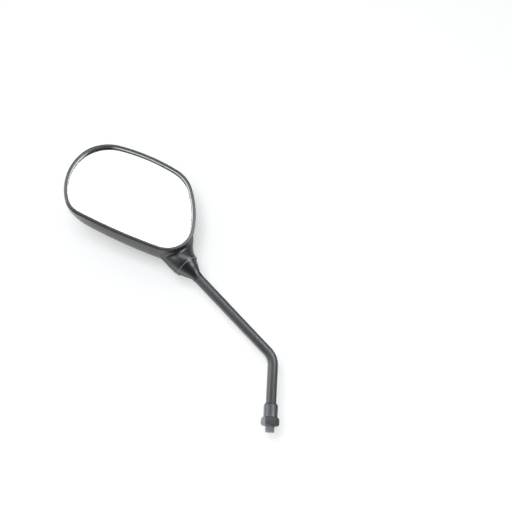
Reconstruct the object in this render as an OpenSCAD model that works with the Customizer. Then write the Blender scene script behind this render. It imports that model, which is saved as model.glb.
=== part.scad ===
// Motorcycle mirror for the left side of a handlebar, as mounted.
// Z runs up the lower stem, X points to the rider's right, and the glass faces the rider, towards -Y.
// The origin lies on the stud, at the top of its exposed thread. All lengths are in millimetres.

/* [Head outline] */
// Width of the housing's rim along its long edges
head_w = 148; // [142:1:156]
// Height of the housing's rim
head_h = 102.2; // [98:0.2:108]
// Radius of the rim's corner above the neck
inner_top_r = 35.8; // [30:0.2:38]
// How far that corner lies in from the rim's right-hand edge
inner_top_in_x = 16.1; // [13:0.1:18]
// How far that corner lies below the rim's top edge
inner_top_in_z = 2.1; // [1:0.1:5]
// Radius of the rim's upper corner at the outer end
outer_top_r = 43.4; // [38:0.2:45]
// How far that corner lies in from the rim's left-hand edge
outer_top_in_x = 0; // [0:0.1:2]
// How far that corner lies below the rim's top edge
outer_top_in_z = 2.8; // [1:0.1:5]
// Radius of the rim's lower corner at the outer end
outer_low_r = 24; // [21:0.5:29]
// How far that corner lies in from the rim's left-hand edge
outer_low_in_x = 6.4; // [4:0.1:9]
// How far that corner lies above the rim's bottom edge
outer_low_in_z = 3.2; // [1:0.1:5]
// Radius of the rim's corner at the neck
neck_corner_r = 30.6; // [26:0.2:34]
// How far that corner lies in from the rim's right-hand edge
neck_corner_in_x = 1.7; // [0:0.1:4]
// How far that corner lies above the rim's bottom edge
neck_corner_in_z = 2.7; // [1:0.1:5]
// Radius to which the rim's top edge bulges
top_bulge_r = 203; // [180:1:240]
// Radius to which the rim's outer end bulges
outer_bulge_r = 62.4; // [58:0.2:80]
// Radius to which the rim's bottom edge bulges
bottom_bulge_r = 595; // [450:5:700]
// Radius to which the rim's inner end bulges
inner_bulge_r = 114.5; // [100:0.5:130]

/* [Housing] */
// Depth of the housing from its rim to the back of its dome
housing_depth = 33; // [31:0.5:36]
// How square the dome's section is, where 2 is an ellipse
dome_power = 2.4; // [2.2:0.1:3]
// How far the dome's summit lies towards the neck from the middle
summit_x = 56; // [44:1:58]
// How far the dome's summit lies below the middle
summit_z = -38; // [-40:1:-28]
// Thickness of the housing's moulded wall
wall = 2.5; // [2:0.1:3]
// Width of the lip that frames the glass
lip_w = 3.4; // [3:0.1:4]
// Radius of the lip's rounded outer edge
lip_round = 1.5; // [1:0.1:2]
// Width of the ledge that carries the glass
ledge_w = 3.5; // [3:0.1:5]

/* [Glass] */
// Thickness of the mirror glass
glass_t = 3; // [2.5:0.1:3.5]
// Radius of the convex glass
glass_bulge_r = 1400; // [1200:50:2000]
// Depth of the glass's middle below the rim
glass_sink = 0.6; // [0.4:0.1:1.2]
// Gap between the glass's edge and the lip
glass_gap = 0.4; // [0.3:0.1:0.8]
// Least thickness of the foam pad behind the glass
pad_t = 1; // [0.8:0.1:1.5]

/* [Head position] */
// Turn of the long edges down towards the neck, in degrees
head_slant = 16; // [10:0.2:22]
// Lean of the head's top away from the rider, in degrees
head_lean = 8; // [4:0.5:12]
// Turn of the glass towards the rider, in degrees
head_turn = 12; // [8:0.5:16]
// Distance of the ball's centre to the right of the rim's middle
ball_from_middle_x = 76.8; // [75:0.1:80]
// Distance of the ball's centre below the rim's middle
ball_from_middle_z = 43.4; // [42:0.1:47]
// Depth of the ball's centre behind the rim
ball_depth = 18; // [17:0.5:19]

/* [Stem] */
// Outer diameter of the stem's tube
stem_d = 10.6; // [10:0.1:12]
// Wall of the stem's tube
stem_wall = 1.5; // [1.2:0.1:2]
// Height at which the two straight stretches of the stem would meet
bend_z = 68.8; // [60:0.2:90]
// Angle of the bend in the stem
bend_angle = 45.8; // [30:0.2:55]
// Radius of the bend at the middle of the tube
bend_r = 20; // [16:1:30]
// Length from the bend's meeting point to the ball's centre
joint_reach = 137; // [110:1:160]

/* [Foot] */
// Outer diameter of the threaded stud
stud_d = 9.95; // [9.85:0.01:9.95]
// Length of the stud that stands out below the lock nut
stud_out = 6; // [5:0.5:12]
// Chamfer on the stud's end
stud_chamfer = 0.8; // [0.5:0.1:1.2]
// Width of the lock nut across its flats
nut_af = 16; // [16:0.5:17]
// Height of the lock nut's hexagon
nut_h = 8.6; // [7:0.1:10]
// Diameter of the lock nut's round collar
collar_d = 14.4; // [14:0.1:15.5]
// Height of the lock nut's round collar
collar_h = 12.4; // [9:0.1:14]

/* [Ball joint] */
// Diameter of the steel ball
ball_d = 13; // [12.6:0.1:13.4]
// Diameter of the ball's shank
shank_d = 7; // [6:0.1:7.4]
// Wall of the two nylon seats round the ball
seat_t = 1.77; // [1.6:0.01:1.9]
// Running gap between the ball and its seats
seat_gap = 0.03; // [0.02:0.01:0.05]
// Radius of the joint cover's shoulder about the ball's centre
cover_r = 12.9; // [12.6:0.1:13.2]
// Gap between the joint cover and the neck
cover_gap = 0.25; // [0.2:0.05:0.4]
// Wall of the joint cover
cover_t = 1.5; // [1.2:0.1:1.6]
// Distance from the ball's centre down to the neck's mouth
mouth_drop = 3.8; // [3.4:0.1:4.4]
// Length of the joint cover below the ball's centre
cover_len = 22; // [20:0.5:26]
// Height of the socket block above the ball's centre
socket_h = 18.5; // [18:0.5:20]
// Wall of the socket block round the bore
socket_wall = 2.4; // [2:0.1:2.6]
// Thickness of the steel plate that the spring pushes against
plate_t = 1.6; // [1.2:0.1:2]
// Thickness of the ring that holds the plate
ring_t = 1.2; // [1:0.1:1.5]
// Thickness of the spring's wire
spring_wire = 1.2; // [1:0.1:1.4]
// Number of turns of the spring
spring_turns = 3; // [2:0.5:3.5]

/* [Hidden] */
$fn = 96;
// Gap left where two pieces of one assembly touch face to face
touch = 0.02;

// Rim outline: four corner circles joined by four bulged edges, all tangent
corner_steps = 7;
edge_steps = 5;
corners = [
    [head_w / 2 - inner_top_in_x - inner_top_r, head_h / 2 - inner_top_in_z - inner_top_r, inner_top_r],
    [outer_top_in_x + outer_top_r - head_w / 2, head_h / 2 - outer_top_in_z - outer_top_r, outer_top_r],
    [outer_low_in_x + outer_low_r - head_w / 2, outer_low_in_z + outer_low_r - head_h / 2, outer_low_r],
    [head_w / 2 - neck_corner_in_x - neck_corner_r, neck_corner_in_z + neck_corner_r - head_h / 2, neck_corner_r]
];
bulges = [top_bulge_r, outer_bulge_r, bottom_bulge_r, inner_bulge_r];

function corner_point(i) = [corners[i % 4][0], corners[i % 4][1]];
function corner_r(i) = corners[i % 4][2];
function direction(v) = atan2(v[1], v[0]);
function upwards(a, start) = a < start ? a + 360 : a;

// Centre of edge i, which touches the corners i and i + 1 from inside
function edge_centre(i) =
    let (a = corner_point(i), b = corner_point(i + 1))
    let (ra = bulges[i % 4] - corner_r(i), rb = bulges[i % 4] - corner_r(i + 1))
    let (span = norm(b - a), along = (b - a) / span)
    let (x = (ra * ra - rb * rb + span * span) / (2 * span))
    a + x * along + sqrt(ra * ra - x * x) * [-along[1], along[0]];

function arc(centre, r, from, to, steps) =
    [for (k = [0 : steps - 1]) centre + r * [cos(from + (to - from) * k / steps), sin(from + (to - from) * k / steps)]];

// Points of the rim's outline, moved inwards by inset
function outline(inset) = [
    for (i = [0 : 3])
        let (before = edge_centre(i + 3), after = edge_centre(i))
        let (from = direction(corner_point(i) - before))
        let (to = upwards(direction(corner_point(i) - after), from))
        let (end = upwards(direction(corner_point(i + 1) - after), to))
        each concat(
            arc(corner_point(i), corner_r(i) - inset, from, to, corner_steps),
            arc(after, bulges[i] - inset, to, end, edge_steps)
        )
];

// Solid between rings of points, closed flat at the first and the last ring
module loft(rings) {
    n = len(rings[0]);
    last = len(rings) - 1;
    sides = [
        for (r = [0 : last - 1], i = [0 : n - 1])
            let (a = r * n + i, b = r * n + (i + 1) % n)
            each [[a, a + n, b], [b, a + n, b + n]]
    ];
    first_cap = [for (i = [0 : n - 1]) i];
    last_cap = [for (i = [n - 1 : -1 : 0]) last * n + i];
    polyhedron(points = [for (r = rings) each r], faces = concat(sides, [first_cap, last_cap]));
}

// The housing's section: rings of the outline, from the summit of the dome to the lip
dome_steps = 8;
summit = [summit_x, summit_z];
lip_break = 0.4;
ledge_inset = lip_w + ledge_w;
glass_edge_inset = lip_w + glass_gap;
glass_reach = norm([head_w, head_h]) / 2 - inner_top_r / 2;
glass_edge_depth = glass_sink + glass_reach * glass_reach / (2 * glass_bulge_r);
ledge_depth = glass_edge_depth + glass_t + pad_t;

function ring_at(points, depth) = [for (p = points) [p[0], depth, p[1]]];
function shrunk(points, f) = [for (p = points) summit + f * (p - summit)];
// Rings of a dome from its summit, at the depth back, to its base of the given inset, at the depth front
function dome_rings(inset, front, back) = [
    for (k = [0 : dome_steps])
        let (a = 86 - 80 * k / dome_steps)
        let (width = pow(cos(a), 2 / dome_power), rise = pow(sin(a), 2 / dome_power))
        ring_at(shrunk(outline(inset), width), front + (back - front) * rise)
];
outside_rings = concat(
    dome_rings(0, lip_round, housing_depth),
    [
        ring_at(outline(0), lip_round),
        ring_at(outline(0.3 * lip_round), 0.3 * lip_round),
        ring_at(outline(lip_round), 0)
    ]
);
inside_rings = concat(
    dome_rings(ledge_inset, ledge_depth + 1, housing_depth - wall),
    [
        ring_at(outline(ledge_inset), ledge_depth),
        ring_at(outline(lip_w), ledge_depth),
        ring_at(outline(lip_w), lip_break),
        ring_at(outline(lip_w - lip_break - 1), -1)
    ]
);

// Directions in the head's own frame, in which the rim lies in the XZ plane and Y is the depth
function turn_x(a, v) = [v[0], v[1] * cos(a) - v[2] * sin(a), v[1] * sin(a) + v[2] * cos(a)];
function turn_y(a, v) = [v[0] * cos(a) + v[2] * sin(a), v[1], v[2] * cos(a) - v[0] * sin(a)];
function turn_z(a, v) = [v[0] * cos(a) - v[1] * sin(a), v[0] * sin(a) + v[1] * cos(a), v[2]];
stem_dir = [-sin(bend_angle), 0, cos(bend_angle)];
neck_dir = turn_z(-head_turn, turn_x(head_lean, turn_y(-head_slant, stem_dir)));
depth_dir = [0, 1, 0] - neck_dir[1] * neck_dir;
neck_deep = depth_dir / norm(depth_dir);
neck_side = cross(neck_deep, neck_dir);
ball_in_head = [ball_from_middle_x, ball_depth, -ball_from_middle_z];

module head_place() {
    translate(bend_z * [0, 0, 1] + joint_reach * stem_dir)
        rotate([0, head_slant, 0])
            rotate([-head_lean, 0, 0])
                rotate([0, 0, head_turn])
                    translate(-ball_in_head)
                        children();
}

// Z along the upper stem, with the origin at the ball's centre
module joint_place() {
    translate(bend_z * [0, 0, 1] + joint_reach * stem_dir)
        rotate([0, -bend_angle, 0])
            children();
}

// The neck's sections: distance above the ball's centre, reach below, reach above, half depth
groove_r = cover_r + cover_gap;
neck_r = groove_r + 0.95;
mouth_r = sqrt(groove_r * groove_r - mouth_drop * mouth_drop) + 0.75;
neck_sections = [
    [-mouth_drop, mouth_r, mouth_r, mouth_r],
    [-mouth_drop / 2, mouth_r + 0.45, mouth_r + 0.45, mouth_r + 0.45],
    [0, neck_r, neck_r + 0.1, neck_r],
    [4, neck_r + 0.4, neck_r + 1.5, neck_r],
    [8, neck_r + 0.7, neck_r + 4.2, neck_r - 0.4],
    [12, neck_r + 0.7, neck_r + 7.4, neck_r - 1],
    [16, neck_r + 0.9, neck_r + 11.6, neck_r - 1.6],
    [22, neck_r + 1.2, neck_r + 15.6, neck_r - 2.4],
    [32, neck_r, neck_r + 14, neck_r - 4],
    [44, neck_r - 5, neck_r + 6, neck_r - 8]
];
neck_steps = 40;
function neck_ring(s, inset) = [
    for (k = [0 : neck_steps - 1])
        let (a = 360 * k / neck_steps, reach = cos(a) > 0 ? s[2] : s[1])
        let (side = (reach - inset) * cos(a), deep = (s[3] - inset) * sin(a))
        ball_in_head + s[0] * neck_dir + side * neck_side + deep * neck_deep
];
neck_outside = [for (s = neck_sections) neck_ring(s, 0)];
neck_inside = [for (k = [4 : len(neck_sections) - 1]) neck_ring(neck_sections[k], wall)];

// Sizes of the ball joint, all about the ball's centre
ball_r = ball_d / 2;
seat_in_r = ball_r + seat_gap;
seat_out_r = seat_in_r + seat_t;
bore_r = seat_out_r + seat_gap;
block_r = bore_r + socket_wall;
post_r = block_r - 0.9;
groove_top = 3.2;
mouth_cone = 44;
ring_low = socket_h - 1.2 - ring_t;
plate_low = ring_low - touch - plate_t;
cap_top = socket_h - 8;
cap_pocket = 1;
spring_r = bore_r - 3.3;

// Round block in the neck that holds the ball's seats, reaching down into the joint cover
module socket_block() {
    rotate_extrude() {
        intersection() {
            circle(block_r);
            translate([0, -block_r])
                square([post_r, 2 * block_r]);
        }
        translate([0, groove_top + 0.8])
            square([block_r, socket_h - groove_top - 0.8]);
    }
}

// Bore of the socket block, with the ring's groove, the round seat and the cone that lets the shank swing
module socket_bore() {
    rotate_extrude() {
        intersection() {
            circle(bore_r);
            translate([0, -bore_r])
                square([bore_r, 2 * bore_r]);
        }
        square([bore_r, socket_h + 1]);
        translate([0, ring_low - touch])
            square([bore_r + 0.9, ring_t + 2 * touch]);
        polygon([[0, 0], [groove_r * tan(mouth_cone), -groove_r], [0, -groove_r]]);
    }
}

// Space round the block for the joint cover's shoulder
module cover_groove() {
    rotate_extrude()
        intersection() {
            circle(groove_r);
            translate([0, groove_top - 2 * groove_r])
                square([groove_r, 2 * groove_r]);
        }
}

module housing() {
    color([0.09, 0.09, 0.095])
        difference() {
            union() {
                difference() {
                    head_place() {
                        loft(outside_rings);
                        loft(neck_outside);
                    }
                    head_place() {
                        loft(inside_rings);
                        loft(neck_inside);
                    }
                    joint_place()
                        cover_groove();
                }
                joint_place()
                    socket_block();
            }
            joint_place()
                socket_bore();
        }
}

// Everything within an outline, over a stretch of depth, in the head's own frame
module prism(inset, front, back) {
    translate([0, back, 0])
        rotate([90, 0, 0])
            linear_extrude(height = back - front)
                polygon(outline(inset));
}

// Ball on which the glass's front lies, made larger or smaller by grow
module glass_ball(grow) {
    translate([0, glass_sink + glass_bulge_r, 0])
        sphere(r = glass_bulge_r + grow, $fn = 256);
}

module mirror_glass() {
    color([0.86, 0.9, 0.92])
        head_place()
            difference() {
                intersection() {
                    prism(glass_edge_inset, glass_sink - 0.5, ledge_depth);
                    glass_ball(0);
                }
                glass_ball(-glass_t);
            }
}

// Solid in front of the foam pad, dished like the glass's back
module pad_dish() {
    function back_depth(r) = glass_sink + glass_t + 2 * touch + r * r / (2 * glass_bulge_r);
    reach = 1.2 * head_w / 2;
    rotate([-90, 0, 0])
        rotate_extrude()
            polygon(concat(
                [for (k = [0 : 6]) [reach * k / 6, back_depth(reach * k / 6)]],
                [[reach, -1], [0, -1]]
            ));
}

module glass_pad() {
    color([0.2, 0.2, 0.21])
        head_place()
            difference() {
                prism(glass_edge_inset + 0.3, glass_sink, ledge_depth - touch);
                prism(ledge_inset, glass_sink - 1, ledge_depth + 1);
                pad_dish();
            }
}

// The joint cover's outside, from the shoulder in the neck's mouth down to the stem
cover_low_r = stem_d / 2 + 0.35;
shoulder_top = 95;
shoulder_low = 122;
module cover_profile(r, low_r, grow) {
    shoulder = [
        for (k = [0 : 6])
            let (a = shoulder_top + (shoulder_low - shoulder_top) * k / 6)
            [r * sin(a), r * cos(a)]
    ];
    skirt = [
        [0.76 * r, -0.74 * r],
        [0.68 * r, -0.9 * r],
        [0.59 * r, -1.07 * r],
        [low_r + 0.047 * r, -1.3 * r],
        [low_r + 0.012 * r, -1.45 * r],
        [low_r, -cover_len - grow]
    ];
    polygon(concat(shoulder, skirt, [[0, -cover_len - grow], [0, shoulder[0][1]]]));
}

module joint_cover() {
    color([0.07, 0.07, 0.075])
        joint_place()
            rotate_extrude()
                difference() {
                    cover_profile(cover_r, cover_low_r, 0);
                    translate([0, 0.01])
                        cover_profile(cover_r - cover_t, stem_d / 2 + touch, 1);
                }
}

module ball_stud() {
    color([0.7, 0.71, 0.73])
        joint_place() {
            sphere(r = ball_r);
            translate([0, 0, -cover_len])
                cylinder(d = shank_d, h = cover_len);
            translate([0, 0, -cover_len - 14])
                cylinder(r = stem_d / 2 - stem_wall - touch, h = 14 + 6);
        }
}

// Ring of the space between two balls, between two angles from the upper stem's axis
module seat_ring(from, to) {
    rotate_extrude()
        intersection() {
            difference() {
                circle(seat_out_r);
                circle(seat_in_r);
            }
            polygon([
                [0, 0],
                3 * seat_out_r * [sin(from), cos(from)],
                3 * seat_out_r * [sin((from + to) / 2), cos((from + to) / 2)],
                3 * seat_out_r * [sin(to), cos(to)]
            ]);
        }
}

module lower_seat() {
    color([0.9, 0.9, 0.87])
        joint_place()
            seat_ring(100, 134);
}

module upper_seat() {
    color([0.9, 0.9, 0.87])
        joint_place()
            seat_ring(24, 82);
}

module pressure_cap() {
    color([0.66, 0.67, 0.69])
        joint_place()
            difference() {
                translate([0, 0, bore_r * cos(50)])
                    cylinder(r = bore_r - 0.1, h = cap_top - bore_r * cos(50));
                sphere(r = bore_r);
                translate([0, 0, cap_top - cap_pocket])
                    cylinder(r = spring_r + spring_wire / 2 + 0.2, h = cap_pocket + 1);
            }
}

// Coil spring swept along a helix, between the cap's pocket and the plate
spring_low = cap_top - cap_pocket + spring_wire / 2 + touch;
spring_high = plate_low - spring_wire / 2 - touch;
spring_steps = 48;
module pressure_spring() {
    rings = [
        for (k = [0 : spring_steps])
            let (a = 360 * spring_turns * k / spring_steps)
            let (z = spring_low + (spring_high - spring_low) * k / spring_steps)
            [
                for (j = [7 : -1 : 0])
                    let (r = spring_r + spring_wire / 2 * cos(45 * j))
                    [r * cos(a), r * sin(a), z + spring_wire / 2 * sin(45 * j)]
            ]
    ];
    color([0.55, 0.56, 0.58])
        joint_place()
            loft(rings);
}

module spring_plate() {
    color([0.72, 0.73, 0.74])
        joint_place()
            translate([0, 0, plate_low])
                cylinder(r = bore_r - 0.1, h = plate_t);
}

// Open spring ring with two drilled ears, sprung into the groove of the bore
module retaining_ring() {
    ring_in_r = bore_r - 1.4;
    ear_turn = 16;
    color([0.3, 0.3, 0.31])
        joint_place()
            translate([0, 0, ring_low])
                linear_extrude(height = ring_t)
                    difference() {
                        union() {
                            difference() {
                                circle(r = bore_r + 0.8);
                                circle(r = ring_in_r);
                            }
                            for (side = [-1, 1])
                                rotate(side * ear_turn)
                                    translate([ring_in_r - 0.6, 0])
                                        circle(r = 1.4);
                        }
                        polygon([[0, 0], 2 * bore_r * [cos(9), sin(9)], 2 * bore_r * [cos(9), -sin(9)]]);
                        for (side = [-1, 1])
                            rotate(side * ear_turn)
                                translate([ring_in_r - 0.6, 0])
                                    circle(r = 0.6);
                    }
}

// The lock nut's underside stands just clear of the exposed thread
nut_low_z = 0.3;
// Where the bend starts, counted from the point at which the straight stretches would meet
bend_tangent = bend_r * tan(bend_angle / 2);
stem_low_z = nut_low_z + nut_h + 1.2;
// How far the tube's upper end reaches into the joint cover
tube_in_cover = 4;
// Bent rod along the stem's middle line, which the bend draws a little thinner
bend_thinning = 0.012;
bend_overlap = 0.4;
module bent_rod(r) {
    bend_start = bend_z - bend_tangent;
    low_length = bend_start - stem_low_z;
    up_length = joint_reach - bend_tangent - cover_len + tube_in_cover;
    translate([0, 0, stem_low_z])
        cylinder(r = r, h = low_length + bend_overlap);
    translate([-bend_r, 0, bend_start]) {
        rotate([90, 0, 0])
            rotate_extrude(angle = bend_angle)
                translate([bend_r, 0])
                    circle(r = r - bend_thinning);
        rotate([0, -bend_angle, 0])
            translate([bend_r, 0, -bend_overlap])
                cylinder(r = r, h = up_length + bend_overlap);
    }
}

module stem_tube() {
    color([0.08, 0.08, 0.085])
        difference() {
            bent_rod(stem_d / 2);
            bent_rod(stem_d / 2 - stem_wall);
        }
}

// The exposed thread has its full radius, and inside the nut the two threads meet half-way up their flanks
stud_r = stud_d / 2;
thread_half_depth = 0.37;
stud_in_nut_r = stud_r - thread_half_depth;
stud_in_tube = 16;
stud_plug_r = stem_d / 2 - stem_wall - touch;
module threaded_stud() {
    color([0.1, 0.1, 0.105])
        rotate_extrude()
            polygon([
                [0, -stud_out],
                [stud_r - stud_chamfer, -stud_out],
                [stud_r, stud_chamfer - stud_out],
                [stud_r, 0],
                [stud_in_nut_r, 0],
                [stud_in_nut_r, stem_low_z - touch],
                [stud_plug_r, stem_low_z - touch],
                [stud_plug_r, stem_low_z + stud_in_tube],
                [0, stem_low_z + stud_in_tube]
            ]);
}

// Sizes of the nut's corners, of its seat in the collar and of its running gaps
nut_run_gap = 0.05;
nut_break = 0.5;
collar_run_gap = 0.08;
collar_break = 0.9;
module lock_nut() {
    corner_r = nut_af / 2 / cos(30) + 0.1;
    color([0.09, 0.09, 0.095])
        translate([0, 0, nut_low_z])
            difference() {
                union() {
                    intersection() {
                        cylinder(d = nut_af / cos(30), h = nut_h, $fn = 6);
                        rotate_extrude()
                            polygon([
                                [0, 0],
                                [nut_af / 2 - 0.2, 0],
                                [corner_r, nut_break + 0.2],
                                [corner_r, nut_h - nut_break],
                                [nut_af / 2, nut_h],
                                [0, nut_h]
                            ]);
                    }
                    rotate_extrude()
                        polygon([
                            [0, nut_h - 1],
                            [collar_d / 2, nut_h - 1],
                            [collar_d / 2, nut_h + collar_h - collar_break],
                            [collar_d / 2 - collar_break, nut_h + collar_h],
                            [0, nut_h + collar_h]
                        ]);
                }
                translate([0, 0, -1])
                    cylinder(r = stud_in_nut_r + nut_run_gap, h = nut_h + 2);
                translate([0, 0, nut_h + 0.6])
                    cylinder(r = stem_d / 2 + collar_run_gap, h = collar_h);
            }
}

housing();
mirror_glass();
glass_pad();
joint_cover();
ball_stud();
lower_seat();
upper_seat();
pressure_cap();
pressure_spring();
spring_plate();
retaining_ring();
stem_tube();
threaded_stud();
lock_nut();
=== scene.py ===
import math

import bpy
from mathutils import Matrix, Vector
from mathutils.bvhtree import BVHTree


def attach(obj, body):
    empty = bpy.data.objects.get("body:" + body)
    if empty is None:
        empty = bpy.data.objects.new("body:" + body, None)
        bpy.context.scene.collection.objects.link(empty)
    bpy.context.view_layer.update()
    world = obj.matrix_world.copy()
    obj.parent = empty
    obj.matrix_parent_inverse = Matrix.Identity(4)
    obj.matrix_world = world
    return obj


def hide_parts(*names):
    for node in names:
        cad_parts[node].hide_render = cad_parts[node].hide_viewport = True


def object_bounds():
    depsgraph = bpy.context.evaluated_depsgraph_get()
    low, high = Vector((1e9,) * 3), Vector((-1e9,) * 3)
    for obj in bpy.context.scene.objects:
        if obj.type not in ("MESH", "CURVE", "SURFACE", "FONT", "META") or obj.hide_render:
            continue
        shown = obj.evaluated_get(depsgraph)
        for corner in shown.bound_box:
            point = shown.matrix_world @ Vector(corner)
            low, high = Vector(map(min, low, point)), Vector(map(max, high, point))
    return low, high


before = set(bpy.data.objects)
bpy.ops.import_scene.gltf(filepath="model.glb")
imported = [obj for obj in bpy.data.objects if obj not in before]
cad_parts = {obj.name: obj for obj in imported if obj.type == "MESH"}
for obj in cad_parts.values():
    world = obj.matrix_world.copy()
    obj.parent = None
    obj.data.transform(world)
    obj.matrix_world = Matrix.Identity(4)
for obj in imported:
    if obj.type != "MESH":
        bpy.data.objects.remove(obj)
cad_low, cad_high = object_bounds()
MM = 0.001

# The camera looks up at the glass from a little below, at the distance that gives the photograph's
# perspective, and it is tipped so that the lower stem stands almost upright in the picture.
camera_distance = 0.800
camera_rise = math.radians(20.0)
camera_tip = math.radians(3.2)
aim = Vector((-0.02352, 0.0, 0.17765))
camera_right = Vector((math.cos(camera_tip), 0.0, math.sin(camera_tip)))
picture_up = Vector((-math.sin(camera_tip), 0.0, math.cos(camera_tip)))
camera_forward = Vector((0, 1, 0)) * math.cos(camera_rise) + picture_up * math.sin(camera_rise)
camera_up = picture_up * math.cos(camera_rise) - Vector((0, 1, 0)) * math.sin(camera_rise)
camera_data = bpy.data.cameras.new("photo_camera")
camera_data.sensor_width = 36.0
camera_data.lens = 52.71
camera_data.clip_start = 0.02
camera_data.clip_end = 20.0
camera = bpy.data.objects.new("photo_camera", camera_data)
bpy.context.scene.collection.objects.link(camera)
camera.matrix_world = Matrix((
    (camera_right.x, camera_up.x, -camera_forward.x, aim.x - camera_distance * camera_forward.x),
    (camera_right.y, camera_up.y, -camera_forward.y, aim.y - camera_distance * camera_forward.y),
    (camera_right.z, camera_up.z, -camera_forward.z, aim.z - camera_distance * camera_forward.z),
    (0.0, 0.0, 0.0, 1.0),
))
bpy.context.scene.camera = camera
bpy.context.scene.view_settings.view_transform = "Standard"

# The ground of the photograph is a white sheet behind the mirror. It takes the mirror's soft shadow,
# leaves room for the head to turn and is seen from its front side only.
sheet_gap, sheet_size = 27.5 * MM, 6.0
sheet_grey, sheet_glow = 0.8, 0.265


def math_node(nodes, links, operation, first, second):
    """Result of an operation on two sockets, or on a socket and a number."""
    node = nodes.new("ShaderNodeMath")
    node.operation = operation
    for socket, value in zip(node.inputs, (first, second)):
        if isinstance(value, (int, float)):
            socket.default_value = value
        else:
            links.new(value, socket)
    return node.outputs[0]


def ramp_node(nodes, links, value, start, end, low, high):
    """Smooth step from low to high, as the value goes from start to end."""
    node = nodes.new("ShaderNodeMapRange")
    node.interpolation_type = "SMOOTHSTEP"
    for name, number in (("From Min", start), ("From Max", end), ("To Min", low), ("To Max", high)):
        node.inputs[name].default_value = number
    links.new(value, node.inputs["Value"])
    return node.outputs["Result"]


sheet_material = bpy.data.materials.new("white_sheet")
sheet_material.use_nodes = True
sheet_nodes, sheet_links = sheet_material.node_tree.nodes, sheet_material.node_tree.links
sheet_nodes.clear()
sheet_out = sheet_nodes.new("ShaderNodeOutputMaterial")
sheet_paint = sheet_nodes.new("ShaderNodeBsdfDiffuse")
sheet_paint.inputs["Color"].default_value = (sheet_grey, sheet_grey, sheet_grey, 1.0)
sheet_light = sheet_nodes.new("ShaderNodeEmission")
sheet_light.inputs["Color"].default_value = (1.0, 1.0, 1.0, 1.0)
sheet_path = sheet_nodes.new("ShaderNodeLightPath")
sheet_spot = sheet_nodes.new("ShaderNodeTexCoord")
sheet_axes = sheet_nodes.new("ShaderNodeSeparateXYZ")
sheet_links.new(sheet_spot.outputs["Object"], sheet_axes.inputs[0])
sheet_x, sheet_z = sheet_axes.outputs["X"], sheet_axes.outputs["Z"]


def sheet_math(operation, first, second):
    return math_node(sheet_nodes, sheet_links, operation, first, second)


def rising(along, start, end):
    """Share of a patch that grows from 0 to 1 between two places."""
    return ramp_node(sheet_nodes, sheet_links, along, start, end, 0.0, 1.0)


def falling(along, start, end):
    """Share of a patch that drops from 1 to 0 between two places."""
    return ramp_node(sheet_nodes, sheet_links, along, start, end, 1.0, 0.0)


def patch(*shares):
    """Soft patch of the sheet, where all the shares overlap."""
    overlap = shares[0]
    for share in shares[1:]:
        overlap = sheet_math("MULTIPLY", overlap, share)
    return overlap


# Only the mirror's gloss shows these patches of the sheet's glow: painted light left of the stem's foot,
# left of the head and behind the dome, and painted shade right of the foot, right of the stem and above the
# joint.
foot_gain, head_gain, dome_gain, dark_gain = 2.7, 1.6, 2.5, -0.6
left_of_foot = patch(falling(sheet_x, -0.03, 0.01), falling(sheet_z, 0.04, 0.13))
left_of_head = patch(falling(sheet_x, -0.265, -0.235), rising(sheet_z, 0.12, 0.17))
behind_dome = patch(
    rising(sheet_x, -0.20, -0.15), falling(sheet_x, -0.15, -0.09),
    rising(sheet_z, 0.20, 0.24), falling(sheet_z, 0.24, 0.28),
)
right_of_foot = rising(sheet_x, 0.0, 0.04)
right_of_stem = patch(rising(sheet_math("ADD", sheet_x, sheet_z), 0.085, 0.13), falling(sheet_z, 0.16, 0.20))
above_joint = patch(rising(sheet_z, 0.26, 0.30), rising(sheet_x, -0.09, -0.05))
painted_light = sheet_math("MULTIPLY", left_of_foot, foot_gain)
for bright, gain in ((left_of_head, head_gain), (behind_dome, dome_gain)):
    painted_light = sheet_math("ADD", painted_light, sheet_math("MULTIPLY", bright, gain))
darkened = sheet_math("MAXIMUM", sheet_math("MAXIMUM", right_of_stem, right_of_foot), above_joint)
painted_shade = sheet_math("MULTIPLY", darkened, dark_gain)
sheet_camera, sheet_gloss = sheet_path.outputs["Is Camera Ray"], sheet_path.outputs["Is Glossy Ray"]
in_gloss = sheet_math("MULTIPLY", sheet_math("ADD", painted_light, painted_shade), sheet_gloss)
seen_sheet = sheet_math("MAXIMUM", sheet_camera, sheet_gloss)
seen_sheet = sheet_math("MAXIMUM", seen_sheet, sheet_path.outputs["Is Transmission Ray"])
sheet_level = sheet_math("ADD", sheet_math("MULTIPLY", seen_sheet, sheet_glow), in_gloss)
sheet_links.new(sheet_level, sheet_light.inputs["Strength"])
sheet_front = sheet_nodes.new("ShaderNodeAddShader")
sheet_links.new(sheet_paint.outputs[0], sheet_front.inputs[0])
sheet_links.new(sheet_light.outputs[0], sheet_front.inputs[1])
sheet_side = sheet_nodes.new("ShaderNodeNewGeometry")
sheet_back = sheet_nodes.new("ShaderNodeBsdfTransparent")
one_sided = sheet_nodes.new("ShaderNodeMixShader")
sheet_links.new(sheet_side.outputs["Backfacing"], one_sided.inputs[0])
sheet_links.new(sheet_front.outputs[0], one_sided.inputs[1])
sheet_links.new(sheet_back.outputs[0], one_sided.inputs[2])
sheet_links.new(one_sided.outputs[0], sheet_out.inputs["Surface"])

bpy.ops.object.select_all(action="DESELECT")
bpy.ops.mesh.primitive_plane_add(size=sheet_size, location=(0, 0, 0))
white_sheet = bpy.context.object
white_sheet.name = "white_sheet"
sheet_place = Vector((aim.x, cad_high.y + sheet_gap, aim.z))
facing_camera = Vector((0, -1, 0)).to_track_quat("Z", "Y").to_matrix().to_4x4()
white_sheet.data.transform(Matrix.Translation(sheet_place) @ facing_camera)
white_sheet.data.materials.append(sheet_material)

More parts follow.
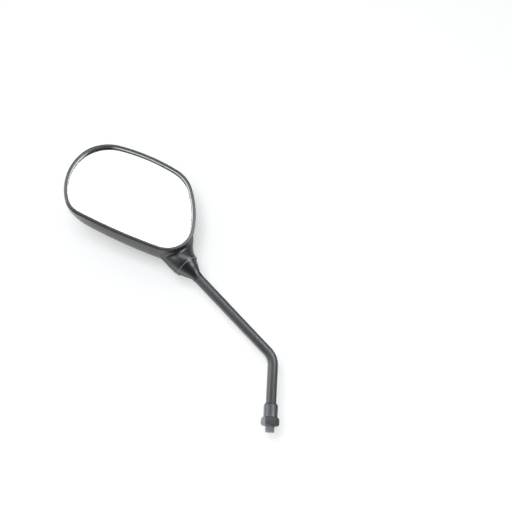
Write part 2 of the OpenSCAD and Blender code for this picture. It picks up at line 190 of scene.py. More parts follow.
# The light of the photograph comes from a white room. The mirror's gloss shows it with a dark place
# behind the camera, a dimmer far corner and three soft lamps that light nothing but the gloss. The
# fourth lamp, above and behind the camera, casts the shadow on the sheet.
world = bpy.data.worlds.new("white_surround")
world.use_nodes = True
bpy.context.scene.world = world
world_nodes, world_links = world.node_tree.nodes, world.node_tree.links
world_nodes.clear()
world_out = world_nodes.new("ShaderNodeOutputWorld")


def surround(strength, colour=(1.0, 1.0, 1.0)):
    """Even light from all around, of a strength and colour."""
    background = world_nodes.new("ShaderNodeBackground")
    background.inputs["Color"].default_value = (*colour, 1.0)
    background.inputs["Strength"].default_value = strength
    return background


cool_white = (0.93, 0.975, 1.0)
room_light, seen_white, seen_gloss = surround(0.66), surround(1.12), surround(1.0, cool_white)
world_direction = world_nodes.new("ShaderNodeTexCoord")


def dark_place(towards, wide, narrow, around, inside):
    """Level of the world's gloss: inside a narrow angle about a direction, and around a wide one."""
    facing = world_nodes.new("ShaderNodeVectorMath")
    facing.operation = "DOT_PRODUCT"
    facing.inputs[1].default_value = Vector(towards).normalized()
    world_links.new(world_direction.outputs["Generated"], facing.inputs[0])
    edges = math.cos(math.radians(wide)), math.cos(math.radians(narrow))
    return ramp_node(world_nodes, world_links, facing.outputs["Value"], *edges, around, inside)


behind_camera = dark_place((0.03, -0.95, -0.3), wide=60, narrow=28, around=0.8, inside=0.06)
far_corner = dark_place((0.46, -0.12, 0.88), wide=50, narrow=22, around=1.0, inside=0.35)
gloss_level = math_node(world_nodes, world_links, "MULTIPLY", behind_camera, far_corner)
world_links.new(gloss_level, seen_gloss.inputs["Strength"])
world_path = world_nodes.new("ShaderNodeLightPath")
world_camera, world_clear = world_path.outputs["Is Camera Ray"], world_path.outputs["Is Transmission Ray"]
seen_plain = math_node(world_nodes, world_links, "MAXIMUM", world_camera, world_clear)
gloss_mix = world_nodes.new("ShaderNodeMixShader")
world_links.new(world_path.outputs["Is Glossy Ray"], gloss_mix.inputs[0])
world_links.new(room_light.outputs[0], gloss_mix.inputs[1])
world_links.new(seen_gloss.outputs[0], gloss_mix.inputs[2])
world_mix = world_nodes.new("ShaderNodeMixShader")
world_links.new(seen_plain, world_mix.inputs[0])
world_links.new(gloss_mix.outputs[0], world_mix.inputs[1])
world_links.new(seen_white.outputs[0], world_mix.inputs[2])
world_links.new(world_mix.outputs[0], world_out.inputs["Surface"])


def soft_lamp(name, offset, width, height, watts, gloss_only=True):
    """Lamp that faces the aim from an offset to the right, upwards and back, in the camera's own axes."""
    data = bpy.data.lights.new(name, "AREA")
    data.shape = "RECTANGLE"
    data.size, data.size_y = width, height
    data.energy = watts
    data.color = cool_white
    lamp = bpy.data.objects.new(name, data)
    bpy.context.scene.collection.objects.link(lamp)
    place = aim + camera_right * offset[0] + camera_up * offset[1] - camera_forward * offset[2]
    lamp.location = place
    lamp.rotation_mode = "QUATERNION"
    lamp.rotation_quaternion = (aim - place).to_track_quat("-Z", "Y")
    lamp.visible_diffuse = not gloss_only
    lamp.visible_glossy = gloss_only
    lamp.visible_transmission = False


soft_lamp("key_lamp", (0.15, 0.76, 0.62), 1.3, 0.3, 9.5)
soft_lamp("left_lamp", (-0.85, 0.50, 0.40), 0.7, 0.7, 11.5)
soft_lamp("right_lamp", (0.75, 0.55, 0.50), 0.5, 0.5, 10.0)
soft_lamp("shadow_lamp", (-0.12, 0.24, 1.0), 0.35, 0.35, 4.7, gloss_only=False)

# The housing is a black plastic cup, moulded in one piece with the neck that holds the ball joint.
# Its rim is four corner circles joined by four bulged edges, and its dome shrinks towards a summit
# above the neck. It is drawn in millimetres: X and Z lie in the rim's plane, Y is the depth behind it.
head_w, head_h = 148.0, 102.2
rim_corners = [
    (Vector((head_w / 2 - 51.9, head_h / 2 - 37.9)), 35.8),
    (Vector((43.4 - head_w / 2, head_h / 2 - 46.2)), 43.4),
    (Vector((30.4 - head_w / 2, 27.2 - head_h / 2)), 24.0),
    (Vector((head_w / 2 - 32.3, 33.3 - head_h / 2)), 30.6),
]
rim_bulges = [203.0, 62.4, 595.0, 114.5]
dome_depth, dome_power, dome_summit = 32.9, 2.4, Vector((56.0, -38.0))
dome_start = math.radians(88.5)
wall, ledge_w, ledge_depth = 2.5, 3.5, 6.45
lip_w, lip_crown, lip_out, lip_in = 3.4, 1.7, 1.0, 0.5
ball_in_head = Vector((76.8, 18.0, -43.4))
bend_z, bend_angle, bend_r, joint_reach = 68.8, math.radians(45.8), 20.0, 137.0
stem_dir = Vector((-math.sin(bend_angle), 0.0, math.cos(bend_angle)))
ball_place = Vector((0.0, 0.0, bend_z)) + joint_reach * stem_dir
millimetres = Matrix.Scale(MM, 4)
head_roll, head_nod, head_swivel = math.radians(16), math.radians(-8), math.radians(12)
head_turns = (
    Matrix.Rotation(head_roll, 4, "Y")
    @ Matrix.Rotation(head_nod, 4, "X")
    @ Matrix.Rotation(head_swivel, 4, "Z")
)
head_place = millimetres @ Matrix.Translation(ball_place) @ head_turns @ Matrix.Translation(-ball_in_head)
joint_place = millimetres @ Matrix.Translation(ball_place) @ Matrix.Rotation(-bend_angle, 4, "Y")


def choose(piece):
    """Makes the piece the only selected one, for the operators that follow."""
    bpy.ops.object.select_all(action="DESELECT")
    bpy.context.view_layer.objects.active = piece
    piece.select_set(True)


def new_piece(name, points, faces, place):
    """Mesh with its faces turned outwards, moved from its own frame to its place."""
    mesh = bpy.data.meshes.new(name)
    mesh.from_pydata([place @ point for point in points], [], faces)
    piece = bpy.data.objects.new(name, mesh)
    bpy.context.scene.collection.objects.link(piece)
    choose(piece)
    bpy.ops.object.mode_set(mode="EDIT")
    bpy.ops.mesh.select_all(action="SELECT")
    bpy.ops.mesh.normals_make_consistent(inside=False)
    bpy.ops.object.mode_set(mode="OBJECT")
    return piece


def loft(name, rings, place, wrap=False):
    """Skin through rings of points: wrapped round to the first ring, or closed by a fan at each end."""
    count, last = len(rings[0]), len(rings) - 1
    points = [point for ring in rings for point in ring]
    faces = []
    for low in range(last + 1 if wrap else last):
        high = (low + 1) % len(rings)
        for i in range(count):
            j = (i + 1) % count
            faces.append((low * count + i, low * count + j, high * count + j, high * count + i))
    for end in () if wrap else (0, last):
        points.append(sum(rings[end], Vector((0, 0, 0))) / count)
        faces += [(end * count + i, end * count + (i + 1) % count, len(points) - 1) for i in range(count)]
    return new_piece(name, points, faces, place)


def spun(name, profile, place, steps=128):
    """Closed profile of (radius, height) turned round the Z axis of place."""
    mesh = bpy.data.meshes.new(name)
    count = len(profile)
    mesh.from_pydata([(r, 0.0, z) for r, z in profile], [(i, (i + 1) % count) for i in range(count)], [])
    piece = bpy.data.objects.new(name, mesh)
    bpy.context.scene.collection.objects.link(piece)
    choose(piece)
    bpy.ops.object.mode_set(mode="EDIT")
    bpy.ops.mesh.select_all(action="SELECT")
    bpy.ops.mesh.spin(steps=steps, angle=2 * math.pi, center=(0, 0, 0), axis=(0, 0, 1))
    bpy.ops.mesh.select_all(action="SELECT")
    bpy.ops.mesh.remove_doubles(threshold=0.001)
    bpy.ops.mesh.delete_loose()
    bpy.ops.mesh.select_all(action="SELECT")
    bpy.ops.mesh.normals_make_consistent(inside=False)
    bpy.ops.object.mode_set(mode="OBJECT")
    piece.data.transform(place)
    return piece


def combine(piece, other, operation):
    """Adds the other solid to the piece, cuts it away or keeps what both share, and drops the other."""
    choose(piece)
    change = piece.modifiers.new(operation.lower(), "BOOLEAN")
    change.operation = operation
    change.solver = "MANIFOLD"
    change.object = other
    bpy.ops.object.modifier_apply(modifier=change.name)
    bpy.data.objects.remove(other)


def rounded(points, steps):
    """Smooth curve through the points, with some steps from each one to the next."""
    curve = []
    for i in range(len(points) - 1):
        before, start = Vector(points[max(i - 1, 0)]), Vector(points[i])
        end, after = Vector(points[i + 1]), Vector(points[min(i + 2, len(points) - 1)])
        for k in range(steps):
            t = k / steps
            curve.append(start + 0.5 * t * (
                (end - before)
                + t * (2 * before - 5 * start + 4 * end - after)
                + t * t * (3 * start - before - 3 * end + after)
            ))
    return curve + [Vector(points[-1])]


def surface(piece, material, angle):
    """Gives a piece its material, smooth over edges that bend by less than the angle."""
    choose(piece)
    bpy.ops.object.shade_smooth_by_angle(angle=math.radians(angle))
    piece.data.materials.clear()
    piece.data.materials.append(material)


def finish_piece(piece, body, node, material, angle):
    """Surface of a piece that shows in place of a drawn solid."""
    surface(piece, material, angle)
    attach(piece, body)
    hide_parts(node)


def edge_centre(i):
    """Centre of the circle that bulges from one corner circle to the next and touches both."""
    (a, corner_a), (b, corner_b) = rim_corners[i], rim_corners[(i + 1) % 4]
    reach_a, reach_b = rim_bulges[i] - corner_a, rim_bulges[i] - corner_b
    span = (b - a).length
    along = (b - a) / span
    x = (reach_a ** 2 - reach_b ** 2 + span ** 2) / (2 * span)
    return a + x * along + math.sqrt(reach_a ** 2 - x ** 2) * Vector((-along.y, along.x))


def rim_outline(inset, steps=32):
    """Points of the rim, set in from its outer edge."""
    points = []
    for i in range(4):
        corner, corner_r = rim_corners[i]
        centre = edge_centre(i)
        turns = [
            math.atan2(*reversed(corner - edge_centre((i + 3) % 4))),
            math.atan2(*reversed(corner - centre)),
            math.atan2(*reversed(rim_corners[(i + 1) % 4][0] - centre)),
        ]
        for k in (1, 2):
            while turns[k] < turns[k - 1]:
                turns[k] += 2 * math.pi
        corner_arc = (corner, corner_r - inset, turns[0], turns[1])
        bulge_arc = (centre, rim_bulges[i] - inset, turns[1], turns[2])
        for middle, radius, start, end in (corner_arc, bulge_arc):
            for k in range(steps):
                a = start + (end - start) * k / steps
                points.append(middle + radius * Vector((math.cos(a), math.sin(a))))
    return points


def at_depth(points, depth):
    """Flat outline set at a depth behind the rim's plane."""
    return [Vector((p.x, depth, p.y)) for p in points]


def dome_rings(inset, front, back, steps=48):
    """Rings of the dome, from its back forward to the rim."""
    base = rim_outline(inset)
    rings = []
    for k in range(steps):
        a = dome_start * (1 - k / steps)
        width, rise = math.cos(a) ** (2 / dome_power), math.sin(a) ** (2 / dome_power)
        shrunk = [dome_summit + width * (p - dome_summit) for p in base]
        rings.append(at_depth(shrunk, front + (back - front) * rise))
    return rings + [at_depth(base, front)]


lip_turns = [math.radians(15 * k) for k in range(1, 7)]
lip_rings = [
    at_depth(rim_outline(lip_crown * (1 - math.cos(a))), lip_out * (1 - math.sin(a))) for a in lip_turns
]
dome = loft("dome", dome_rings(0.0, lip_out, dome_depth) + lip_rings, head_place)

# The neck's sections: distance above the ball's centre, reach below, reach above and half depth.
neck_steps = 96
cover_r, cover_gap, mouth_drop = 12.9, 0.25, 3.8
groove_r = cover_r + cover_gap
neck_r = groove_r + 0.95
mouth_r = math.sqrt(groove_r ** 2 - mouth_drop ** 2) + 0.75
neck_sections = [
    (-mouth_drop - 4, mouth_r - 0.9, mouth_r - 0.9, mouth_r - 0.9),
    (-mouth_drop, mouth_r, mouth_r, mouth_r),
    (-mouth_drop / 2, mouth_r + 0.45, mouth_r + 0.45, mouth_r + 0.45),
    (0, neck_r, neck_r + 0.1, neck_r),
    (4, neck_r + 0.4, neck_r + 1.5, neck_r),
    (8, neck_r + 0.7, neck_r + 4.2, neck_r - 0.4),
    (12, neck_r + 0.7, neck_r + 7.4, neck_r - 1),
    (16, neck_r + 0.9, neck_r + 11.6, neck_r - 1.6),
    (22, neck_r + 1.2, neck_r + 15.6, neck_r - 2.4),
    (32, neck_r, neck_r + 14, neck_r - 4),
    (44, neck_r - 5, neck_r + 6, neck_r - 8),
]
neck_dir = head_turns.to_3x3().inverted() @ stem_dir
neck_deep = (Vector((0, 1, 0)) - neck_dir.y * neck_dir).normalized()
neck_side = neck_deep.cross(neck_dir)
neck_rings = []
for height, below, above, deep in rounded(neck_sections, 5):
    ring = []
    for k in range(neck_steps):
        a = 2 * math.pi * k / neck_steps
        side = (above if math.cos(a) > 0 else below) * math.cos(a)
        ring.append(ball_in_head + height * neck_dir + side * neck_side + deep * math.sin(a) * neck_deep)
    neck_rings.append(ring)
neck = loft("neck", neck_rings, head_place)

# Dome and neck are grown together, and a soft fillet is left along the line where they meet.
voxel, fillet_reach, fillet_rounds, least_share = 0.8 * MM, 6.5 * MM, 70, 0.04


def surface_tree(piece):
    """The piece's surface, to find the nearest point on."""
    faces = [polygon.vertices for polygon in piece.data.polygons]
    return BVHTree.FromPolygons([vertex.co for vertex in piece.data.vertices], faces)


dome_surface, neck_surface = surface_tree(dome), surface_tree(neck)
choose(dome)
neck.select_set(True)
bpy.ops.object.join()
shell = bpy.context.object
shell.name = "housing_shell"
grow = shell.modifiers.new("grow_together", "REMESH")
grow.mode = "VOXEL"
grow.voxel_size = voxel
bpy.ops.object.modifier_apply(modifier=grow.name)
fillet = shell.vertex_groups.new(name="fillet")
for vertex in shell.data.vertices:
    on_dome, on_neck = dome_surface.find_nearest(vertex.co), neck_surface.find_nearest(vertex.co)
    nearest, other = (on_dome, on_neck) if on_dome[3] < on_neck[3] else (on_neck, on_dome)
    vertex.co = nearest[0]
    nearness = max(0.0, 1 - other[3] / fillet_reach)
    fillet.add([vertex.index], max(least_share, nearness * nearness * (3 - 2 * nearness)), "REPLACE")
soften = shell.modifiers.new("soften", "SMOOTH")
soften.factor = 0.5
soften.iterations = fillet_rounds
soften.vertex_group = "fillet"
bpy.ops.object.modifier_apply(modifier=soften.name)

# The hollow for the glass, then the mouth with the groove for the joint cover and the ball's bore.
inner_lip_rings = [
    at_depth(rim_outline(lip_w - lip_crown * (1 - math.cos(a))), lip_in * (1 - math.sin(a)))
    for a in [0.0] + lip_turns
]
inside_rings = dome_rings(lip_w + ledge_w, ledge_depth + 1, dome_depth - wall) + [
    at_depth(rim_outline(lip_w + ledge_w), ledge_depth),
    at_depth(rim_outline(lip_w), ledge_depth),
] + inner_lip_rings + [at_depth(rim_outline(lip_w - lip_crown), -1.0)]
combine(shell, loft("hollow", inside_rings, head_place), "DIFFERENCE")
bore_r, block_r, post_r, groove_top, socket_h = 8.33, 10.73, 9.83, 3.2, 18.5
mouth_cone, past_end = math.radians(44), 30.0


def ball_arc(radius, start, end, steps=10):
    """Points of a circle about the ball's centre, between two heights."""
    heights = [start + (end - start) * k / steps for k in range(steps + 1)]
    return [(math.sqrt(radius ** 2 - z ** 2), z) for z in heights]


post_low = -math.sqrt(block_r ** 2 - post_r ** 2)
mouth_profile = (
    [(0.0, -past_end), (past_end, -past_end), (past_end, -mouth_drop)]
    + ball_arc(groove_r, -mouth_drop, groove_top)
    + [(post_r, groove_top)]
    + ball_arc(block_r, post_low, -block_r * math.cos(mouth_cone))
    + ball_arc(bore_r, -bore_r * math.cos(mouth_cone), 0.0)
    + [(bore_r, socket_h), (0.0, socket_h)]
)
combine(shell, spun("mouth", mouth_profile, joint_place), "DIFFERENCE")

cloud_scale, cloud_dark, cloud_light, sheen_spread, grain_strength = 45.0, 0.82, 1.2, 0.08, 0.35


def moulded(name, colour, rough, grain_size, grain_depth):
    """Plastic or paint: a fine grain in the surface, with faint clouds in its colour and its sheen."""
    material = bpy.data.materials.new(name)
    material.use_nodes = True
    nodes, links = material.node_tree.nodes, material.node_tree.links
    shader = nodes["Principled BSDF"]
    shader.inputs["IOR"].default_value = 1.5
    place = nodes.new("ShaderNodeTexCoord")
    grain = nodes.new("ShaderNodeTexNoise")
    grain.inputs["Scale"].default_value = 1.0 / (grain_size * MM)
    grain.inputs["Detail"].default_value = 3.0
    cloud = nodes.new("ShaderNodeTexNoise")
    cloud.inputs["Scale"].default_value = cloud_scale
    cloud.inputs["Detail"].default_value = 4.0
    for texture in (grain, cloud):
        links.new(place.outputs["Object"], texture.inputs["Vector"])
    tint = nodes.new("ShaderNodeMix")
    tint.data_type = "RGBA"
    tint.inputs["A"].default_value = (*[cloud_dark * c for c in colour], 1.0)
    tint.inputs["B"].default_value = (*[cloud_light * c for c in colour], 1.0)
    links.new(cloud.outputs["Fac"], tint.inputs["Factor"])
    links.new(tint.outputs["Result"], shader.inputs["Base Color"])
    both = math_node(nodes, links, "ADD", grain.outputs["Fac"], cloud.outputs["Fac"])
    dull = nodes.new("ShaderNodeMapRange")
    dull.inputs["From Max"].default_value = 2.0
    dull.inputs["To Min"].default_value = rough - sheen_spread
    dull.inputs["To Max"].default_value = rough + sheen_spread
    links.new(both, dull.inputs["Value"])
    links.new(dull.outputs["Result"], shader.inputs["Roughness"])
    bump = nodes.new("ShaderNodeBump")
    bump.inputs["Strength"].default_value = grain_strength
    bump.inputs["Distance"].default_value = grain_depth * MM
    links.new(grain.outputs["Fac"], bump.inputs["Height"])
    links.new(bump.outputs["Normal"], shader.inputs["Normal"])
    return material


housing_plastic = moulded("housing_plastic", (0.0095, 0.0101, 0.0115), 0.36, 0.4, 0.04)
finish_piece(shell, "head", "housing", housing_plastic, 35)

# The mirror is a convex plate of clear glass with a blackened edge. It is silvered behind, backed
# with black paint and pressed into the lip.
glass_radius, glass_sink, glass_gap = 1400.0, 0.6, 0.8
glass_t, clear_t, silver_t, layer_gap = 3.0, 2.0, 0.05, 0.01
glass_inset = lip_w + glass_gap


def on_glass(points, share, sunk):
    """Ring on a sphere parallel to the glass's front, sunk below it."""
    ring = []
    for p in points:
        q = share * p
        dish = glass_radius - math.sqrt(glass_radius ** 2 - q.length_squared)
        ring.append(Vector((q.x, glass_sink + dish + sunk, q.y)))
    return ring


def glass_disc(inset, sunk):
    """Rings of the glass from its middle out to the given inset."""
    shares = [0.02] + [k / 12 for k in range(1, 13)]
    return [on_glass(rim_outline(inset), share, sunk) for share in shares]


def glassy(name, colour, rough, metal=0.0, clear=0.0):
    """Smooth material with faint clouds in its colour and its sheen."""
    material = bpy.data.materials.new(name)
    material.use_nodes = True
    nodes, links = material.node_tree.nodes, material.node_tree.links
    shader = nodes["Principled BSDF"]
    shader.inputs["Metallic"].default_value = metal
    shader.inputs["Transmission Weight"].default_value = clear
    shader.inputs["IOR"].default_value = 1.5
    place = nodes.new("ShaderNodeTexCoord")
    cloud = nodes.new("ShaderNodeTexNoise")
    cloud.inputs["Scale"].default_value = 32.0
    links.new(place.outputs["Object"], cloud.inputs["Vector"])
    tint = nodes.new("ShaderNodeMix")
    tint.data_type = "RGBA"
    tint.inputs["A"].default_value = (0.97 * colour[0], 0.99 * colour[1], 0.99 * colour[2], 1.0)
    tint.inputs["B"].default_value = (*colour, 1.0)
    links.new(cloud.outputs["Fac"], tint.inputs["Factor"])
    links.new(tint.outputs["Result"], shader.inputs["Base Color"])
    sheen = ramp_node(nodes, links, cloud.outputs["Fac"], 0.3, 0.7, rough, 1.5 * rough)
    links.new(sheen, shader.inputs["Roughness"])
    return material


def glass_layer(name, front, back):
    """Layer of the mirror between two depths under the glass's front."""
    return loft(name, glass_disc(glass_inset, front) + glass_disc(glass_inset, back)[::-1], head_place)


plate = glass_layer("mirror_plate", 0.0, clear_t)
clear_glass = glassy("clear_glass", (1.0, 1.0, 1.0), 0.0, clear=1.0)
finish_piece(plate, "head", "mirror_glass", clear_glass, 20)
black_edge = glassy("black_edge", (0.02, 0.021, 0.022), 0.4)
black_edge.node_tree.nodes["Principled BSDF"].inputs["Specular IOR Level"].default_value = 0.0
plate.data.materials.append(black_edge)
# The plate's points lie ring by ring, those of its front first: faces between front and back are edge.
front_points = (len(plate.data.vertices) - 2) // 2
for face in plate.data.polygons:
    on_front = [index < front_points for index in face.vertices]
    if len(on_front) == 4 and any(on_front) and not all(on_front):
        face.material_index = 1

silver_low = clear_t + layer_gap
silver = glass_layer("silver_coat", silver_low, silver_low + silver_t)
mirror_silver = glassy("mirror_silver", (1.0, 1.0, 1.0), 0.01, metal=1.0)
finish_piece(silver, "head", "mirror_glass", mirror_silver, 20)

backing = glass_layer("glass_backing", silver_low + silver_t + layer_gap, glass_t)
backing_paint = moulded("backing_paint", (0.02, 0.021, 0.022), 0.5, 0.3, 0.02)
finish_piece(backing, "head", "mirror_glass", backing_paint, 20)

# A soft pale bead fills the gap between the glass and the lip; its paleness is a painted highlight on
# the lip's inner edge. Round the upper outer corner it is painted black, as painted shade.
seal_outer, seal_inner, seal_front, seal_back = lip_w + 0.02, lip_w + 0.72, 0.75, 2.3
seal_rings = [
    at_depth(rim_outline(seal_outer), seal_front - 0.15),
    at_depth(rim_outline(0.5 * (seal_outer + seal_inner)), seal_front - 0.05),
    at_depth(rim_outline(seal_inner), seal_front + 0.1),
    at_depth(rim_outline(seal_inner), seal_back),
    at_depth(rim_outline(seal_outer), seal_back),
]
seal = loft("glass_seal", seal_rings, head_place, wrap=True)
seal_highlight_paint = moulded("seal_highlight_paint", (0.66, 0.67, 0.68), 0.4, 0.3, 0.02)
# The bead's pale colour turns black near a point by the upper outer corner: painted shade.
shade_middle, shade_near, shade_far = head_place @ Vector((-58.0, 1.0, 35.5)), 11.0 * MM, 22.0 * MM
seal_nodes, seal_links = seal_highlight_paint.node_tree.nodes, seal_highlight_paint.node_tree.links
shade_place = seal_nodes.new("ShaderNodeTexCoord")
shade_reach = seal_nodes.new("ShaderNodeVectorMath")
shade_reach.operation = "DISTANCE"
shade_reach.inputs[1].default_value = shade_middle
seal_links.new(shade_place.outputs["Object"], shade_reach.inputs[0])
highlight_share = ramp_node(seal_nodes, seal_links, shade_reach.outputs["Value"], shade_near, shade_far, 0.0, 1.0)
seal_shader = seal_nodes["Principled BSDF"]
painted_shade_mix = seal_nodes.new("ShaderNodeMix")
painted_shade_mix.data_type = "RGBA"
painted_shade_mix.inputs["A"].default_value = (0.008, 0.008, 0.009, 1.0)
seal_links.new(seal_shader.inputs["Base Color"].links[0].from_socket, painted_shade_mix.inputs["B"])
seal_links.new(highlight_share, painted_shade_mix.inputs["Factor"])
seal_links.new(painted_shade_mix.outputs["Result"], seal_shader.inputs["Base Color"])
surface(seal, seal_highlight_paint, 40)
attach(seal, "head")

# The joint cover is a thin black plastic cap on the upper stem. Its round shoulder slides in the
# neck's groove and its skirt narrows to the stem.
cover_len, cover_t, stem_d, stem_wall, clearance = 22.0, 1.5, 10.6, 1.5, 0.02
cover_low_r = stem_d / 2 + 0.35


def cover_side(r, low_r, end_z):
    """Side of the cap, from the top of its shoulder down to the end of its skirt."""
    shoulder = [(r * math.sin(math.radians(a)), r * math.cos(math.radians(a))) for a in range(95, 123, 3)]
    skirt = [
        shoulder[-1], (0.76 * r, -0.74 * r), (0.68 * r, -0.9 * r), (0.59 * r, -1.07 * r),
        (low_r + 0.047 * r, -1.3 * r), (low_r + 0.012 * r, -1.45 * r), (low_r, end_z),
    ]
    return shoulder[:-1] + [tuple(p) for p in rounded(skirt, 6)]


cover_outside = cover_side(cover_r, cover_low_r, -cover_len)
cover_inside = cover_side(cover_r - cover_t, stem_d / 2 + clearance, -cover_len)
cover = spun("joint_boot", cover_outside + cover_inside[::-1], joint_place, 144)
cover_plastic = moulded("cover_plastic", (0.009, 0.0095, 0.0107), 0.36, 0.45, 0.03)
finish_piece(cover, "stem", "joint_cover", cover_plastic, 40)

# The neck's mouth ends in a fine rounded edge, in which the cover turns. It is coloured much paler than
# the rest of the plastic, as a painted highlight along the edge.
bead_r, bead_middle_r = 0.45, 13.05


def round_section(section_r, middle_r, middle_z, steps=12):
    """Profile of a ring of round section."""
    turns = [2 * math.pi * k / steps for k in range(steps)]
    return [(middle_r + section_r * math.cos(a), middle_z + section_r * math.sin(a)) for a in turns]


mouth_edge = spun("mouth_edge", round_section(bead_r, bead_middle_r, bead_r - mouth_drop), joint_place, 144)
# The edge's pale colour is a painted highlight.
edge_highlight_paint = moulded("edge_highlight_paint", (0.30, 0.305, 0.31), 0.35, 0.3, 0.02)
surface(mouth_edge, edge_highlight_paint, 60)
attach(mouth_edge, "head")

# The stem is a steel tube, bent once and powder-coated in satin black. Its lower end stands in the
# nut's collar and its upper end in the joint cover.
stem_low, tube_in_cover = 10.1, 4.0
bend_tangent, bend_steps = bend_r * math.tan(bend_angle / 2), 32


def stem_path():
    """Points of the stem's middle line, each with the line's turn from the upright there."""
    yield Vector((0, 0, stem_low)), 0.0
    for k in range(bend_steps + 1):
        a = bend_angle * k / bend_steps
        start = bend_z - bend_tangent
        yield Vector((bend_r * (math.cos(a) - 1), 0, start + bend_r * math.sin(a))), a
    yield ball_place - (cover_len - tube_in_cover) * stem_dir, bend_angle


def tube_rings(radius, count=96):
    """Circles round the stem's middle line."""
    rings = []
    turns = [2 * math.pi * k / count for k in range(count)]
    for middle, a in stem_path():
        across = Vector((math.cos(a), 0, math.sin(a)))
        rings.append([middle + radius * (math.cos(t) * across + Vector((0, math.sin(t), 0))) for t in turns])
    return rings


stem_rings = tube_rings(stem_d / 2) + tube_rings(stem_d / 2 - stem_wall)[::-1]
stem = loft("stem_rod", stem_rings, millimetres, wrap=True)
black_stem = moulded("black_stem", (0.034, 0.0353, 0.0385), 0.42, 0.7, 0.03)
finish_piece(stem, "stem", "stem_tube", black_stem, 32)

# The stud is a steel rod with a rolled thread, pressed into the tube. The thread is a ridge that
# winds round it from a chamfered start, and inside the nut the stud is drawn plain.
stud_r, stud_out, stud_chamfer = 4.975, 6.0, 0.8
thread_pitch, thread_depth, half_crest, flank = 1.25, 0.72, 0.07, 0.3
stud_in_nut_r, stud_in_tube = 4.605, 16.0
stud_steps, rows_per_pitch = 120, 16


def thread_radius(turn, z):
    """Radius of the thread at a share of a turn and a height."""
    share = (z / thread_pitch - turn) % 1.0
    slope = min(max((abs(share - 0.5) - half_crest) / flank, 0.0), 1.0)
    chamfered = stud_r - stud_chamfer + (z + stud_out)
    return min(stud_r - thread_depth * slope, chamfered)


def level_ring(radii, z):
    """Ring about the stud's axis with a radius for each step of the turn."""
    turns = [2 * math.pi * k / len(radii) for k in range(len(radii))]
    return [Vector((r * math.cos(a), r * math.sin(a), z)) for r, a in zip(radii, turns)]


stud_rings = []
thread_rows = round(stud_out / thread_pitch * rows_per_pitch)
for row in range(thread_rows + 1):
    z = -stud_out * (1 - row / thread_rows)
    stud_rings.append(level_ring([thread_radius(k / stud_steps, z) for k in range(stud_steps)], z))
stud_plug_r, shoulder_z = stem_d / 2 - stem_wall - clearance, stem_low - clearance
for r, z in (
    (stud_in_nut_r, 0.0), (stud_in_nut_r, shoulder_z),
    (stud_plug_r, shoulder_z), (stud_plug_r, stem_low + stud_in_tube),
):
    stud_rings.append(level_ring([r] * stud_steps, z))
stud = loft("threaded_stud_cut", stud_rings, millimetres)
black_zinc = moulded("black_zinc", (0.046, 0.0475, 0.051), 0.40, 0.5, 0.02)
worn_zinc = moulded("worn_zinc", (0.22, 0.225, 0.235), 0.4, 0.4, 0.02)
finish_piece(stud, "stem", "threaded_stud", worn_zinc, 30)

# The lock nut is a zinc-plated steel hexagon with turned-off corners, under a round collar of the
# same piece that hides the tube's end. All its edges are slightly broken.
nut_low, nut_h, nut_af, collar_d, collar_h = 0.3, 8.6, 16.0, 14.4, 12.4
nut_top, collar_top = nut_low + nut_h, nut_low + nut_h + collar_h
collar_r, collar_edge, broken_edge = collar_d / 2, 0.9, 0.22
hex_r = nut_af / 2 / math.cos(math.pi / 6)
nut = loft("lock_nut_cut", [level_ring([hex_r] * 6, z) for z in (nut_low, nut_top)], millimetres)
turned_off = [
    (0, nut_low - 1), (nut_af / 2 - 0.3, nut_low - 1), (nut_af / 2 - 0.3, nut_low),
    (hex_r + 0.1, nut_low + 1.3), (hex_r + 0.1, nut_top - 2.2),
    (collar_r + 0.4, nut_top), (collar_r + 0.4, nut_top + 1), (0, nut_top + 1),
]
combine(nut, spun("turned_off", turned_off, millimetres), "INTERSECT")
edge_turns = [math.radians(15 * k) for k in range(7)]
collar_round = [
    (collar_r - collar_edge * (1 - math.cos(a)), collar_top - collar_edge * (1 - math.sin(a)))
    for a in edge_turns
]
collar = [(0, nut_top - 1), (collar_r, nut_top - 1)] + collar_round + [(0, collar_top)]
combine(nut, spun("collar", collar, millimetres), "UNION")
thread_bore_r, tube_bore_r, mouth_bore_r = stud_in_nut_r + 0.05, stem_d / 2 + 0.08, stem_d / 2 + 0.7
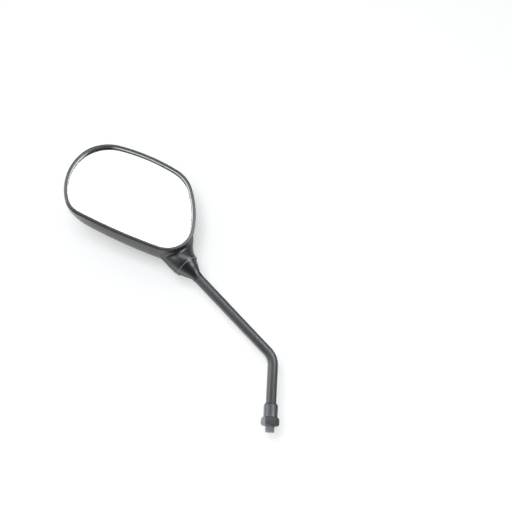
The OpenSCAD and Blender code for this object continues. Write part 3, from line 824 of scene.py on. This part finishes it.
nut_bore = [
    (0, nut_low - 1), (thread_bore_r + 0.6, nut_low - 1), (thread_bore_r + 0.6, nut_low),
    (thread_bore_r, nut_low + 0.6), (thread_bore_r, nut_top + 0.6),
    (tube_bore_r, nut_top + 0.6), (tube_bore_r, collar_top - collar_edge),
    (mouth_bore_r, collar_top), (mouth_bore_r, collar_top + 1), (0, collar_top + 1),
]
combine(nut, spun("nut_bore", nut_bore, millimetres), "DIFFERENCE")
break_edges = nut.modifiers.new("break_edges", "BEVEL")
break_edges.width = broken_edge * MM
break_edges.segments = 3
break_edges.limit_method = "ANGLE"
break_edges.angle_limit = math.radians(28)
choose(nut)
bpy.ops.object.modifier_apply(modifier=break_edges.name)
finish_piece(nut, "nut", "lock_nut", black_zinc, 25)

# A thin black ring is pushed over the tube and sits on the collar's mouth. Its black is painted shade
# for the gap between the collar and the tube.
ring_r = 0.6
ring_profile = round_section(ring_r, stem_d / 2 + 0.35, collar_top + 0.3)
collar_ring = spun("collar_ring", ring_profile, millimetres, 96)
# The ring's black is painted shade in the gap.
gap_shade_black = moulded("gap_shade_black", (0.008, 0.008, 0.008), 0.6, 0.2, 0.02)
surface(collar_ring, gap_shade_black, 60)
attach(collar_ring, "stem")

# The inner pieces keep their drawn shape and get their own surface: the foam pad behind the glass,
# the ball and its two nylon seats, the steel cap, spring, plate and retaining ring of the joint.


def metal(name, colour, rough, mark_size, mark_depth):
    """Bare metal: fine tool marks in the surface, with faint clouds in its colour and its sheen."""
    material = moulded(name, colour, rough, mark_size, mark_depth)
    material.node_tree.nodes["Principled BSDF"].inputs["Metallic"].default_value = 1.0
    return material


foam = moulded("foam", (0.035, 0.035, 0.037), 0.9, 0.6, 0.3)
nylon = moulded("nylon", (0.62, 0.60, 0.54), 0.45, 0.6, 0.03)
bright_steel = metal("bright_steel", (0.56, 0.57, 0.58), 0.28, 0.25, 0.01)
spring_steel = metal("spring_steel", (0.30, 0.31, 0.33), 0.38, 0.25, 0.02)
inner_surfaces = {
    "glass_pad": foam, "ball_stud": bright_steel, "pressure_cap": bright_steel, "spring_plate": bright_steel,
    "lower_seat": nylon, "upper_seat": nylon, "pressure_spring": spring_steel, "retaining_ring": spring_steel,
}
for node, material in inner_surfaces.items():
    inner_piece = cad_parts[node]
    inner_piece.data.materials.clear()
    inner_piece.data.materials.append(material)
